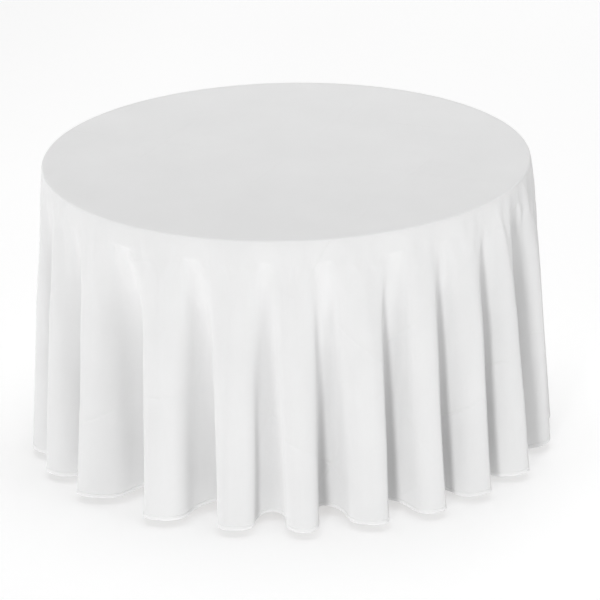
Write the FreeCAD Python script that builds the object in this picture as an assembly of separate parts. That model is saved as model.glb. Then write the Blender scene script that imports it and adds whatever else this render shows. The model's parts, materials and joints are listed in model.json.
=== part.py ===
"""Round folding banquet table under a floor-length round tablecloth.

The table is a plywood disc with a laminate face, an edge band and a bent-wood apron hoop. Two hardwood runners
under it carry two steel leg frames, a and b. Each frame hangs from a pivot tube, folds inwards and is held open
by a two-bar brace that runs to one pin under the middle of the table. Frame b is narrower than frame a and turns
about a slightly higher axis, so that its legs fold flat between the legs of frame a. The cloth is one round sheet
with a narrow sewn hem: a plain shell here, with the outer shape of its hanging folds.

Origin: middle of the table's footprint, on the floor. +Z is up, and the leg frames stand at +X and -X.
Millimetres.
"""

import FreeCAD
import Part

import math
import os

from FreeCAD import Vector

# --- driving dimensions: table top ---
TABLE_DIAMETER = 1219.0  # outside the edge band, a 48 inch table
TABLE_HEIGHT = 743.0  # floor to the laminate
LAMINATE_THICKNESS = 1.0
PLY_THICKNESS = 18.0
EDGE_BAND_THICKNESS = 3.0
EDGE_BAND_ROUND = 2.5
APRON_WIDTH = 18.0
APRON_DEPTH = 30.0

# --- driving dimensions: runners and their screws ---
RUNNER_LENGTH = 860.0
RUNNER_WIDTH = 22.0
RUNNER_HEIGHT = 50.0
RUNNER_CHAMFER = 6.0
SCREWS_PER_RUNNER = 4
SCREW_RADIUS = 2.25
SCREW_HEAD_RADIUS = 4.75
SCREW_HEAD_HEIGHT = 3.0
SCREW_BITE = 12.0  # depth in the plywood

# --- driving dimensions: leg frames ---
LEG_RADIUS = 12.7
PIVOT_TUBE_RADIUS = 14.3
TUBE_WALL = 1.5
CROSSBAR_RADIUS = 9.5
CROSSBAR_WALL = 1.2
CROSSBAR_DROP = 250.0  # pivot axis to crossbar
CROSSBAR_BITE = 2.0  # how deep the crossbar is saddled into the legs
PIVOT_X = 380.0  # pivot axis from the table's middle
PIVOT_DROP_B = 20.0  # pivot axis of frame b below the plywood
PIVOT_STEP = 5.0  # frame a's axis is this much lower than frame b's
LEG_SPREAD_A = 556.0  # leg to leg, between tube centres
LEG_SPREAD_B = 472.0
FOOT_CAP_WALL = 3.3
FOOT_CAP_HEIGHT = 45.0
FOOT_SOLE = 6.0
FOOT_CHAMFER = 2.0
RUNNER_TO_CAP_GAP = 5.0
BUSH_WALL = 2.5
BUSH_FLANGE_WIDTH = 2.0
BUSH_FLANGE_THICKNESS = 2.0
RUNNING_CLEARANCE = 0.05  # radial, shaft in hole
END_CAP_THICKNESS = 4.0
END_CAP_SPIGOT = 12.0
END_PLAY = 0.5

# --- driving dimensions: braces ---
BAR_HEIGHT = 16.0
BAR_THICKNESS = 5.0
BAR_GAP = 0.5  # between bars that pass side by side
UPPER_BAR_Y = 42.5  # inner face of the upper bar
PIN_RADIUS = 4.0
PIN_HEAD_RADIUS = 7.0
PIN_HEAD_THICKNESS = 2.5
EAR_RADIUS = 10.0
EAR_THICKNESS = 5.0
CENTRE_PIN_DROP = 21.0  # centre pin below the plywood
CENTRE_PLATE_LENGTH = 90.0
CENTRE_PLATE_THICKNESS = 3.0
CENTRE_EAR_THICKNESS = 3.0
CENTRE_EAR_GAP = 1.0
PLATE_SCREW_LENGTH = 12.0
PLATE_SCREW_INSET = 10.0

# --- driving dimensions: tablecloth ---
CLOTH_THICKNESS = 1.0
CLOTH_GAP = 0.3  # between cloth and table
HEM_CLEARANCE = 20.0  # hem above the floor
HEM_WIDTH = 10.0
SKIRT_FLARE = 50.0  # fold crests at the hem, beyond the table's edge
# (share of the drop, share of the flare) down the fold crests, from the shoulder to the hem
SKIRT_PROFILE = ((0.09, 0.26), (0.23, 0.46), (0.44, 0.68), (1.0, 1.0))
THREAD_SIZE = 0.6
THREAD_INSET = 2.0
LABEL_WIDTH = 30.0
LABEL_HEIGHT = 45.0
LABEL_THICKNESS = 0.4
LABEL_GAP = 0.5  # behind the cloth

# --- derived levels ---
PLY_TOP = TABLE_HEIGHT - LAMINATE_THICKNESS
PLY_BOTTOM = PLY_TOP - PLY_THICKNESS
PLY_RADIUS = TABLE_DIAMETER / 2 - EDGE_BAND_THICKNESS
APRON_BOTTOM = PLY_BOTTOM - APRON_DEPTH
FOOT_CAP_RADIUS = LEG_RADIUS + FOOT_CAP_WALL
RUNNER_INNER_Y = LEG_SPREAD_A / 2 + FOOT_CAP_RADIUS + RUNNER_TO_CAP_GAP
RUNNER_OUTER_Y = RUNNER_INNER_Y + RUNNER_WIDTH
RUNNER_BOTTOM = PLY_BOTTOM - RUNNER_HEIGHT
BUSH_HOLE_RADIUS = PIVOT_TUBE_RADIUS + RUNNING_CLEARANCE + BUSH_WALL
PIVOT_Z = {"a": PLY_BOTTOM - PIVOT_DROP_B - PIVOT_STEP, "b": PLY_BOTTOM - PIVOT_DROP_B}
LEG_SPREAD = {"a": LEG_SPREAD_A, "b": LEG_SPREAD_B}
CENTRE_PIN_Z = PLY_BOTTOM - CENTRE_PIN_DROP
CROSSBAR_OFFSET = LEG_RADIUS + CROSSBAR_RADIUS - CROSSBAR_BITE
LOWER_BAR_Y = UPPER_BAR_Y + BAR_THICKNESS + BAR_GAP
EAR_Y = LOWER_BAR_Y + BAR_THICKNESS + BAR_GAP
CLOTH_TOP = TABLE_HEIGHT + CLOTH_GAP + CLOTH_THICKNESS
CLOTH_RADIUS = TABLE_DIAMETER / 2 + CLOTH_GAP + CLOTH_THICKNESS
CLOTH_SHOULDER = EDGE_BAND_ROUND + CLOTH_GAP + CLOTH_THICKNESS
HEM_INNER_RADIUS = CLOTH_RADIUS + SKIRT_FLARE - CLOTH_THICKNESS
THREAD_TOP = HEM_CLEARANCE + HEM_WIDTH - THREAD_INSET

UP = Vector(0, 0, 1)
ALONG_Y = Vector(0, 1, 0)
ORIGIN = Vector(0, 0, 0)


# --- small shape helpers ---
def block(x0, x1, y0, y1, z0, z1):
    """Box between two corners."""
    return Part.makeBox(x1 - x0, y1 - y0, z1 - z0, Vector(x0, y0, z0))


def rod_z(radius, x, y, z0, z1):
    return Part.makeCylinder(radius, z1 - z0, Vector(x, y, z0), UP)


def rod_y(radius, x, z, y0, y1):
    return Part.makeCylinder(radius, y1 - y0, Vector(x, y0, z), ALONG_Y)


def ring_z(outer, inner, z0, z1):
    """Flat ring or tube about the Z axis."""
    return rod_z(outer, 0, 0, z0, z1).cut(rod_z(inner, 0, 0, z0, z1))


def fused(shapes):
    """One clean solid from shapes that touch or overlap."""
    first, *rest = shapes
    return first.multiFuse(rest).removeSplitter() if rest else first


def group(shapes):
    """Separate solids that share one node."""
    return Part.makeCompound(list(shapes))


def revolved(edges):
    """Solid made by turning a closed outline in the XZ plane once round Z."""
    return Part.Face(Part.Wire(edges)).revolve(ORIGIN, UP, 360)


# --- brace geometry: a closed chain of table, leg and two bars that lies straight when open and when folded ---
def brace_plan(side):
    """Lengths, open angle and turns of the two bars, in degrees. Angles rise from +X towards +Z."""
    pivot_z = PIVOT_Z[side]
    open_x, open_z = PIVOT_X, pivot_z - CROSSBAR_DROP - CENTRE_PIN_Z
    folded_x, folded_z = PIVOT_X - CROSSBAR_DROP, pivot_z - CENTRE_PIN_Z
    reach_open = math.hypot(open_x, open_z)
    reach_folded = math.hypot(folded_x, folded_z)
    angle_open = math.degrees(math.atan2(open_z, open_x))
    angle_folded = math.degrees(math.atan2(folded_z, folded_x))
    upper_turn = angle_folded - angle_open
    return {
        "upper": (reach_open + reach_folded) / 2,
        "lower": (reach_open - reach_folded) / 2,
        "angle": angle_open,
        "upper_turn": upper_turn,
        "lower_turn_on_leg": 90 - upper_turn,
    }


# --- table top ---
def plywood_top():
    top = rod_z(PLY_RADIUS, 0, 0, PLY_BOTTOM, PLY_TOP)
    return top.cut(group(screw_shanks()))


def edge_band():
    """Band round the plywood, the laminate and the apron, with its upper outer corner rounded."""
    outer = PLY_RADIUS + EDGE_BAND_THICKNESS
    corner = EDGE_BAND_ROUND * (1 - math.sqrt(0.5))
    a, b = Vector(PLY_RADIUS, 0, APRON_BOTTOM), Vector(outer, 0, APRON_BOTTOM)
    c, d = Vector(outer, 0, TABLE_HEIGHT - EDGE_BAND_ROUND), Vector(outer - EDGE_BAND_ROUND, 0, TABLE_HEIGHT)
    middle = Vector(outer - corner, 0, TABLE_HEIGHT - corner)
    e = Vector(PLY_RADIUS, 0, TABLE_HEIGHT)
    edges = [Part.makeLine(a, b), Part.makeLine(b, c), Part.Arc(c, middle, d).toShape()]
    edges += [Part.makeLine(d, e), Part.makeLine(e, a)]
    return revolved(edges)


def runner(side_sign):
    """Hardwood rail with holes for the pivot bushes and for its screws."""
    y0, y1 = sorted((side_sign * RUNNER_INNER_Y, side_sign * RUNNER_OUTER_Y))
    half = RUNNER_LENGTH / 2
    rail = block(-half, half, y0, y1, RUNNER_BOTTOM, PLY_BOTTOM)
    ends = [e for e in rail.Edges if e.BoundBox.ZMax < RUNNER_BOTTOM + 1 and e.BoundBox.XLength < 1]
    rail = rail.makeChamfer(RUNNER_CHAMFER, ends)
    for side, x in (("a", PIVOT_X), ("b", -PIVOT_X)):
        rail = rail.cut(rod_y(BUSH_HOLE_RADIUS, x, PIVOT_Z[side], y0, y1))
    for x, y in runner_screw_places(side_sign):
        rail = rail.cut(wood_screw(x, y))
    return rail


def runner_screw_places(side_sign):
    """Screws spread between the two pivots and kept off the bush holes."""
    y = side_sign * (RUNNER_INNER_Y + RUNNER_OUTER_Y) / 2
    reach = PIVOT_X - 2 * BUSH_HOLE_RADIUS
    step = 2 * reach / (SCREWS_PER_RUNNER - 1)
    return [(-reach + i * step, y) for i in range(SCREWS_PER_RUNNER)]


def wood_screw(x, y):
    """Screw up through a runner, its head let in flush."""
    head = rod_z(SCREW_HEAD_RADIUS, x, y, RUNNER_BOTTOM, RUNNER_BOTTOM + SCREW_HEAD_HEIGHT)
    return fused([head, rod_z(SCREW_RADIUS, x, y, RUNNER_BOTTOM, PLY_BOTTOM + SCREW_BITE)])


def plate_screw_places():
    x = CENTRE_PLATE_LENGTH / 2 - PLATE_SCREW_INSET
    y = centre_plate_half_width() - PLATE_SCREW_INSET
    return [(sx * x, sy * y) for sx in (-1, 1) for sy in (-1, 1)]


def plate_screw(x, y):
    under = PLY_BOTTOM - CENTRE_PLATE_THICKNESS
    head = rod_z(SCREW_HEAD_RADIUS, x, y, under - SCREW_HEAD_HEIGHT, under)
    return fused([head, rod_z(SCREW_RADIUS, x, y, under - SCREW_HEAD_HEIGHT, under + PLATE_SCREW_LENGTH)])


def screw_shanks():
    """Holes that the screws fill in the plywood."""
    runner_holes = [wood_screw(x, y) for sign in (-1, 1) for x, y in runner_screw_places(sign)]
    return runner_holes + [plate_screw(x, y) for x, y in plate_screw_places()]


def centre_ear_faces():
    """(inner, outer) faces of the two ears that hold one upper bar."""
    inner = UPPER_BAR_Y - CENTRE_EAR_GAP - CENTRE_EAR_THICKNESS
    outer = UPPER_BAR_Y + BAR_THICKNESS + CENTRE_EAR_GAP
    return [(inner, inner + CENTRE_EAR_THICKNESS), (outer, outer + CENTRE_EAR_THICKNESS)]


def centre_plate_half_width():
    return centre_ear_faces()[-1][1] + 2 * PLATE_SCREW_INSET


def centre_bracket():
    """Steel plate under the plywood with two pairs of ears for the centre pin."""
    half_x, half_y = CENTRE_PLATE_LENGTH / 2, centre_plate_half_width()
    under = PLY_BOTTOM - CENTRE_PLATE_THICKNESS
    pieces = [block(-half_x, half_x, -half_y, half_y, under, PLY_BOTTOM)]
    for sign in (-1, 1):
        for near, far in centre_ear_faces():
            y0, y1 = sorted((sign * near, sign * far))
            pieces.append(block(-EAR_RADIUS, EAR_RADIUS, y0, y1, CENTRE_PIN_Z, under))
            pieces.append(rod_y(EAR_RADIUS, 0, CENTRE_PIN_Z, y0, y1))
    plate = fused(pieces).cut(rod_y(PIN_RADIUS, 0, CENTRE_PIN_Z, -half_y, half_y))
    return plate.cut(group(plate_screw(x, y) for x, y in plate_screw_places()))


def centre_pin():
    end = centre_ear_faces()[-1][1]
    heads = [
        rod_y(PIN_HEAD_RADIUS, 0, CENTRE_PIN_Z, end, end + PIN_HEAD_THICKNESS),
        rod_y(PIN_HEAD_RADIUS, 0, CENTRE_PIN_Z, -end - PIN_HEAD_THICKNESS, -end),
    ]
    return fused([rod_y(PIN_RADIUS, 0, CENTRE_PIN_Z, -end, end)] + heads)


def pivot_bushes(side):
    """Two flanged plastic bushes, one in each runner."""
    z = PIVOT_Z[side]
    bore = PIVOT_TUBE_RADIUS + RUNNING_CLEARANCE
    flange = RUNNER_OUTER_Y + BUSH_FLANGE_THICKNESS
    bushes = []
    for sign in (-1, 1):
        y0, y1 = sorted((sign * RUNNER_INNER_Y, sign * RUNNER_OUTER_Y))
        f0, f1 = sorted((sign * RUNNER_OUTER_Y, sign * flange))
        sleeve = rod_y(BUSH_HOLE_RADIUS, PIVOT_X, z, y0, y1)
        collar = rod_y(BUSH_HOLE_RADIUS + BUSH_FLANGE_WIDTH, PIVOT_X, z, f0, f1)
        bushes.append(fused([sleeve, collar]).cut(rod_y(bore, PIVOT_X, z, -flange, flange)))
    return group(bushes)


# --- leg frame, built at +X ---
def pivot_half_length():
    return RUNNER_OUTER_Y + BUSH_FLANGE_THICKNESS + END_PLAY


def pivot_tube(side):
    half, z = pivot_half_length(), PIVOT_Z[side]
    tube = rod_y(PIVOT_TUBE_RADIUS, PIVOT_X, z, -half, half)
    return tube.cut(rod_y(PIVOT_TUBE_RADIUS - TUBE_WALL, PIVOT_X, z, -half, half))


def pivot_end_caps(side):
    """Push-in caps that keep the pivot tube between the runners."""
    half, z = pivot_half_length(), PIVOT_Z[side]
    caps = []
    for sign in (-1, 1):
        disc = sorted((sign * half, sign * (half + END_CAP_THICKNESS)))
        spigot = sorted((sign * (half - END_CAP_SPIGOT), sign * half))
        plug = rod_y(PIVOT_TUBE_RADIUS - TUBE_WALL, PIVOT_X, z, *spigot)
        caps.append(fused([rod_y(BUSH_HOLE_RADIUS, PIVOT_X, z, *disc), plug]))
    return group(caps)


def leg_tube(side, sign):
    """Leg saddled onto the thicker pivot tube, ending inside its foot cap."""
    y, z = sign * LEG_SPREAD[side] / 2, PIVOT_Z[side]
    tube = rod_z(LEG_RADIUS, PIVOT_X, y, FOOT_SOLE, z)
    tube = tube.cut(rod_z(LEG_RADIUS - TUBE_WALL, PIVOT_X, y, FOOT_SOLE, z))
    return tube.cut(rod_y(PIVOT_TUBE_RADIUS, PIVOT_X, z, y - 2 * LEG_RADIUS, y + 2 * LEG_RADIUS))


def crossbar(side):
    """Bar across the outer faces of both legs, saddled over them."""
    half = LEG_SPREAD[side] / 2 + LEG_RADIUS
    x, z = PIVOT_X + CROSSBAR_OFFSET, PIVOT_Z[side] - CROSSBAR_DROP
    tube = rod_y(CROSSBAR_RADIUS, x, z, -half, half)
    tube = tube.cut(rod_y(CROSSBAR_RADIUS - CROSSBAR_WALL, x, z, -half, half))
    legs = [rod_z(LEG_RADIUS, PIVOT_X, s * LEG_SPREAD[side] / 2, 0, TABLE_HEIGHT) for s in (-1, 1)]
    return tube.cut(group(legs))


def foot_cap(side, sign):
    """Moulded cap round the end of a leg, flat underneath."""
    y = sign * LEG_SPREAD[side] / 2
    cap = rod_z(FOOT_CAP_RADIUS, PIVOT_X, y, 0, FOOT_CAP_HEIGHT)
    rims = [e for e in cap.Edges if e.Closed]
    cap = cap.makeChamfer(FOOT_CHAMFER, rims)
    return cap.cut(rod_z(LEG_RADIUS, PIVOT_X, y, FOOT_SOLE, FOOT_CAP_HEIGHT))


def brace_lug(side):
    """Single ear on the crossbar that carries the lower bar."""
    z = PIVOT_Z[side] - CROSSBAR_DROP
    x = PIVOT_X + CROSSBAR_OFFSET
    y0, y1 = EAR_Y, EAR_Y + EAR_THICKNESS
    ear = fused([
        rod_y(EAR_RADIUS, PIVOT_X, z, y0, y1),
        block(PIVOT_X, x, y0, y1, z - EAR_RADIUS, z + EAR_RADIUS),
    ])
    return ear.cut(rod_y(CROSSBAR_RADIUS, x, z, y0, y1)).cut(rod_y(PIN_RADIUS, PIVOT_X, z, y0, y1))


def brace_pin(side):
    """Shouldered pin through the lug, flush with the lower bar's inner face."""
    z = PIVOT_Z[side] - CROSSBAR_DROP
    outer = EAR_Y + EAR_THICKNESS
    shank = rod_y(PIN_RADIUS, PIVOT_X, z, LOWER_BAR_Y, outer)
    return fused([shank, rod_y(PIN_HEAD_RADIUS, PIVOT_X, z, outer, outer + PIN_HEAD_THICKNESS)])


def bar(length, y0):
    """Flat bar along +X from a pin hole at the origin to one at length, with round ends."""
    y1 = y0 + BAR_THICKNESS
    half = BAR_HEIGHT / 2
    shape = fused([
        rod_y(half, 0, 0, y0, y1),
        block(0, length, y0, y1, -half, half),
        rod_y(half, length, 0, y0, y1),
    ])
    shape = shape.cut(rod_y(PIN_RADIUS + RUNNING_CLEARANCE, 0, 0, y0, y1))
    return shape.cut(rod_y(PIN_RADIUS, length, 0, y0, y1))


def placed(shape, degrees, x, z):
    """Turns a shape made at the origin up from +X by an angle, and moves it to (x, z)."""
    shape = shape.copy()
    shape.rotate(ORIGIN, Vector(0, -1, 0), degrees)
    shape.translate(Vector(x, 0, z))
    return shape


def upper_bar(side):
    """Bar from the centre pin to the knee."""
    plan = brace_plan(side)
    return placed(bar(plan["upper"], UPPER_BAR_Y), plan["angle"], 0, CENTRE_PIN_Z)


def lower_bar(side):
    """Bar from the lug on the crossbar to the knee, in the next plane out."""
    plan = brace_plan(side)
    flat = bar(plan["lower"], LOWER_BAR_Y)
    return placed(flat, plan["angle"] + 180, PIVOT_X, PIVOT_Z[side] - CROSSBAR_DROP)


def knee_rivet_half(side, on_upper):
    """Half of the knee rivet: head and the part of its shank inside one bar."""
    plan = brace_plan(side)
    if on_upper:
        head = (UPPER_BAR_Y - PIN_HEAD_THICKNESS, UPPER_BAR_Y)
        shank = (UPPER_BAR_Y, UPPER_BAR_Y + BAR_THICKNESS)
    else:
        head = (LOWER_BAR_Y + BAR_THICKNESS, LOWER_BAR_Y + BAR_THICKNESS + PIN_HEAD_THICKNESS)
        shank = (LOWER_BAR_Y, LOWER_BAR_Y + BAR_THICKNESS)
    pieces = [rod_y(PIN_HEAD_RADIUS, plan["upper"], 0, *head), rod_y(PIN_RADIUS, plan["upper"], 0, *shank)]
    return placed(fused(pieces), plan["angle"], 0, CENTRE_PIN_Z)


# --- tablecloth ---
def skirt_points(inset):
    """Points down the skirt from the shoulder to the hem's top, moved in by inset."""
    hem_top = HEM_CLEARANCE + HEM_WIDTH
    top = CLOTH_TOP - CLOTH_SHOULDER
    drop = top - hem_top
    points = [Vector(CLOTH_RADIUS - inset, 0, top)]
    for down, out in SKIRT_PROFILE:
        points.append(Vector(CLOTH_RADIUS + out * SKIRT_FLARE - inset, 0, top - down * drop))
    return points


def skirt_edge(inset):
    curve = Part.BSplineCurve()
    down = Vector(0, 0, -1)
    curve.interpolate(Points=skirt_points(inset), InitialTangent=down, FinalTangent=down)
    return curve.toShape()


def shoulder_edge(inset):
    """Quarter round from the flat top into the skirt."""
    radius = CLOTH_SHOULDER - inset
    centre_x, centre_z = CLOTH_RADIUS - CLOTH_SHOULDER, CLOTH_TOP - CLOTH_SHOULDER
    diagonal = radius * math.sqrt(0.5)
    return Part.Arc(
        Vector(centre_x, 0, centre_z + radius),
        Vector(centre_x + diagonal, 0, centre_z + diagonal),
        Vector(centre_x + radius, 0, centre_z),
    ).toShape()


def tablecloth():
    """One sheet: flat on the table, round over its edge, then down along the crests of its folds."""
    edges = []
    for inset in (0, CLOTH_THICKNESS):
        flat = Part.makeLine(
            Vector(0, 0, CLOTH_TOP - inset), Vector(CLOTH_RADIUS - CLOTH_SHOULDER, 0, CLOTH_TOP - inset)
        )
        edges += [flat, shoulder_edge(inset), skirt_edge(inset)]
    outer_end, inner_end = skirt_points(0)[-1], skirt_points(CLOTH_THICKNESS)[-1]
    axis = Part.makeLine(Vector(0, 0, CLOTH_TOP), Vector(0, 0, CLOTH_TOP - CLOTH_THICKNESS))
    edges += [Part.makeLine(outer_end, inner_end), axis]
    return revolved(Part.__sortEdges__(edges))


def hem():
    """Turned-under edge of the cloth."""
    outer = HEM_INNER_RADIUS + CLOTH_THICKNESS
    return ring_z(outer, HEM_INNER_RADIUS, HEM_CLEARANCE, HEM_CLEARANCE + HEM_WIDTH)


def hem_thread():
    """Seam thread, on the inside of the hem."""
    return ring_z(HEM_INNER_RADIUS, HEM_INNER_RADIUS - THREAD_SIZE, THREAD_TOP - THREAD_SIZE, THREAD_TOP)


def care_label():
    """Blank woven label that stands on the hem seam, inside the cloth at the back."""
    y1 = HEM_INNER_RADIUS - LABEL_GAP
    half = LABEL_WIDTH / 2
    return block(-half, half, y1 - LABEL_THICKNESS, y1, THREAD_TOP, THREAD_TOP + LABEL_HEIGHT)


# --- every node ---
def leg_frame_nodes(side):
    """Nodes of one leg frame and its brace, built at +X and turned to -X for frame b."""
    nodes = {
        f"pivot_bushes_{side}": pivot_bushes(side),
        f"pivot_tube_{side}": pivot_tube(side),
        f"pivot_end_caps_{side}": pivot_end_caps(side),
        f"leg_{side}_left": leg_tube(side, -1),
        f"leg_{side}_right": leg_tube(side, 1),
        f"foot_cap_{side}_left": foot_cap(side, -1),
        f"foot_cap_{side}_right": foot_cap(side, 1),
        f"crossbar_{side}": crossbar(side),
        f"brace_lug_{side}": brace_lug(side),
        f"brace_pin_{side}": brace_pin(side),
        f"upper_brace_bar_{side}": upper_bar(side),
        f"lower_brace_bar_{side}": lower_bar(side),
        f"knee_rivet_upper_{side}": knee_rivet_half(side, True),
        f"knee_rivet_lower_{side}": knee_rivet_half(side, False),
    }
    if side == "b":
        for shape in nodes.values():
            shape.rotate(ORIGIN, UP, 180)
    return nodes


def all_nodes():
    nodes = {
        "plywood_top": plywood_top(),
        "top_laminate": rod_z(PLY_RADIUS, 0, 0, PLY_TOP, TABLE_HEIGHT),
        "edge_band": edge_band(),
        "apron_hoop": ring_z(PLY_RADIUS, PLY_RADIUS - APRON_WIDTH, APRON_BOTTOM, PLY_BOTTOM),
        "runner_left": runner(-1),
        "runner_right": runner(1),
        "runner_screws": group(wood_screw(x, y) for s in (-1, 1) for x, y in runner_screw_places(s)),
        "centre_bracket": centre_bracket(),
        "centre_bracket_screws": group(plate_screw(x, y) for x, y in plate_screw_places()),
        "centre_pin": centre_pin(),
        "tablecloth": tablecloth(),
        "hem": hem(),
        "hem_thread": hem_thread(),
        "care_label": care_label(),
    }
    for side in ("a", "b"):
        nodes.update(leg_frame_nodes(side))
    return nodes


def main():
    os.makedirs("parts", exist_ok=True)
    for name, shape in all_nodes().items():
        shape.exportStep(os.path.join("parts", name + ".step"))
        print(f"{name}: {len(shape.Solids)} solid(s), {shape.Volume / 1000:.1f} cm3, valid {shape.isValid()}")


main()
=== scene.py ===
# %% [markdown]
# # A floor-length tablecloth on a round folding table
#
# The table is hard and exact, so it comes ready made as the frame: plywood top, steel legs, braces and feet.
# What is left to make here is the cloth, and the look of every surface. A round cloth has far more edge than
# the table it hangs from, and the spare edge has to go somewhere: it falls in deep, soft folds. Most of this
# lesson is about giving those folds the right amount of cloth.

# %% Load the frame
import json
import math

import bpy
import numpy as np
from mathutils import Matrix, Vector


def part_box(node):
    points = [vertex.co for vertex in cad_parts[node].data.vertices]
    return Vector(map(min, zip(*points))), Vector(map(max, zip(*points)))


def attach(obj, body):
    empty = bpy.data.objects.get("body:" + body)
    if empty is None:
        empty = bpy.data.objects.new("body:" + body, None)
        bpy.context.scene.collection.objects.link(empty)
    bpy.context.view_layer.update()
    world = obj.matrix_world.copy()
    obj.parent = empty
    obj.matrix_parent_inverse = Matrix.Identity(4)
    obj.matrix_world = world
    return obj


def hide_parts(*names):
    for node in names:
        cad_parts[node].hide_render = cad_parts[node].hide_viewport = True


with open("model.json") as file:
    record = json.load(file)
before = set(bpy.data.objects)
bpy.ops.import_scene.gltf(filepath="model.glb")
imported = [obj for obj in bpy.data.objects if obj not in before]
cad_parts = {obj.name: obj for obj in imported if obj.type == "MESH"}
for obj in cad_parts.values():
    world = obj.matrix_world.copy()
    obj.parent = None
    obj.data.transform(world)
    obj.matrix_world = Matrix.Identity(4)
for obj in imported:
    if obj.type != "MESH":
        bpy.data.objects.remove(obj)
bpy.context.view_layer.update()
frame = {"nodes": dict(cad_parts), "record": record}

# %% [markdown]
# ## Sizes
#
# Every size that the cloth has to match is read from the frame: the height of its top, the radius of the rim
# it turns over, and how far its folds may stand out at the hem. Only the size of the cut is chosen here. A
# round of about 2.7 m is the usual floor-length cloth for a table of this size.

# %% Sizes
cloth_low, cloth_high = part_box("tablecloth")
hem_low, hem_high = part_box("hem")
band_low, band_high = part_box("edge_band")
hoop_low, hoop_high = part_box("apron_hoop")

TOP_Z = cloth_high[2]
RIM = band_high[0] + 0.0013  # outside of the cloth where it turns over the table's edge
EDGE_BOTTOM = hoop_low[2]
HEM_WIDTH = hem_high[2] - hem_low[2]
CREST_AT_HEM = hem_high[0]
SKIRT_LENGTH = 0.729  # along the cloth, from the rim to its edge
CUT_RADIUS = RIM + SKIRT_LENGTH
print(f"rim radius {RIM:.4f}, drop {TOP_Z - hem_low[2]:.3f}, round cut {2 * CUT_RADIUS:.3f} m across")

# %% [markdown]
# ## Camera
#
# A long lens from far off keeps the round top a clean ellipse and the folds upright. The camera looks down by
# about twenty degrees, and is tipped by a degree, as a camera held by hand is.

# %% Camera
CAMERA_AWAY = 9.461
CAMERA_ABOVE_TOP = 3.241
CAMERA_DOWN = math.radians(20.955)
CAMERA_ASIDE = math.radians(0.166)
CAMERA_TIP = math.radians(-1.25)


def camera_matrix():
    """Place and turn of a camera that looks along `ahead`, tipped about that line."""
    ahead = Vector((
        math.sin(CAMERA_ASIDE) * math.cos(CAMERA_DOWN),
        math.cos(CAMERA_ASIDE) * math.cos(CAMERA_DOWN),
        -math.sin(CAMERA_DOWN),
    ))
    level = Vector((math.cos(CAMERA_ASIDE), -math.sin(CAMERA_ASIDE), 0))
    above = level.cross(ahead)
    side = math.cos(CAMERA_TIP) * level + math.sin(CAMERA_TIP) * above
    top = -math.sin(CAMERA_TIP) * level + math.cos(CAMERA_TIP) * above
    columns = Matrix((side, top, -ahead)).transposed().to_4x4()
    return Matrix.Translation((0, -CAMERA_AWAY, TOP_Z + CAMERA_ABOVE_TOP)) @ columns


camera_data = bpy.data.cameras.new("camera")
camera_data.lens = 240
camera_data.sensor_width = 36
camera_data.clip_end = 60
camera = bpy.data.objects.new("camera", camera_data)
bpy.context.collection.objects.link(camera)
camera.matrix_world = camera_matrix()
bpy.context.scene.camera = camera
print("camera at", [round(v, 2) for v in camera.matrix_world.translation])

# %% [markdown]
# ## Light and floor
#
# White cloth on a white floor shows its shape only by soft shadow. A broad lamp close to the camera lights
# every surface that faces it, and leaves dark only the narrow gaps that run straight back between two folds.
# A lamp on each side keeps the skirt evenly bright all round, one above lights the top, and the sky fills
# what is left. The floor and the low wall round it give some light of their own.

# %% Light and floor
scene = bpy.context.scene
scene.view_settings.view_transform = "Standard"

LAMPS = (
    # name, place, size in metres, power in watts
    ("lamp_front", (-2.0, -9.1, 2.3), 1.3, 300),
    ("lamp_left", (-6.5, -5.5, 1.2), 2.0, 48),
    ("lamp_right", (6.0, -5.0, 2.5), 2.5, 90),
    ("lamp_back", (1.5, 6.5, 3.4), 3.2, 90),
    ("lamp_above", (0, 0.6, 5.2), 3.4, 125),
)
SKY_LIGHT = 0.28
AIM = Vector((0, 0, 0.4))
WALL_HEIGHT = 3.4

for name, place, size, power in LAMPS:
    lamp_data = bpy.data.lights.new(name, "AREA")
    lamp_data.size = size
    lamp_data.energy = power
    lamp = bpy.data.objects.new(name, lamp_data)
    bpy.context.collection.objects.link(lamp)
    lamp.location = place
    lamp.rotation_euler = (AIM - Vector(place)).to_track_quat("-Z", "Y").to_euler()

world = bpy.data.worlds.new("studio")
world.use_nodes = True
world.node_tree.nodes["Background"].inputs["Color"].default_value = (1, 1, 1, 1)
world.node_tree.nodes["Background"].inputs["Strength"].default_value = SKY_LIGHT
scene.world = world

bpy.ops.mesh.primitive_plane_add(size=44, location=(0, 0, 0))
floor = bpy.context.object
floor.name = "studio_floor"

# a low pale wall far round the floor, so that the view from low down ends in white and not at an edge
bpy.ops.mesh.primitive_cylinder_add(
    vertices=128, radius=21, depth=WALL_HEIGHT, end_fill_type="NOTHING", location=(0, 0, WALL_HEIGHT / 2)
)
backdrop = bpy.context.object
backdrop.name = "studio_backdrop"
bpy.ops.object.transform_apply(location=True)
print(len(LAMPS), "lamps")

# %% [markdown]
# ## The flat cut
#
# Before it is hung, the cloth is a flat round. Its mesh is a wheel of spokes and rings. A spoke runs from the
# rim to the edge of the cut, and keeps its length however the cloth hangs. A ring, once hung, nearly does so
# too, and that is what makes the folds: the outermost ring is more than twice as long as the way round the
# table.

# %% The flat cut
SPOKES_PER_FOLD = 28
RING_GAP = 0.0133
FINE_GAP = 0.0055  # where the cloth leaves the bottom of the table's edge
FINE_ABOVE, FINE_BELOW = 0.011, 0.033  # how far the narrow gaps reach from there

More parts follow.
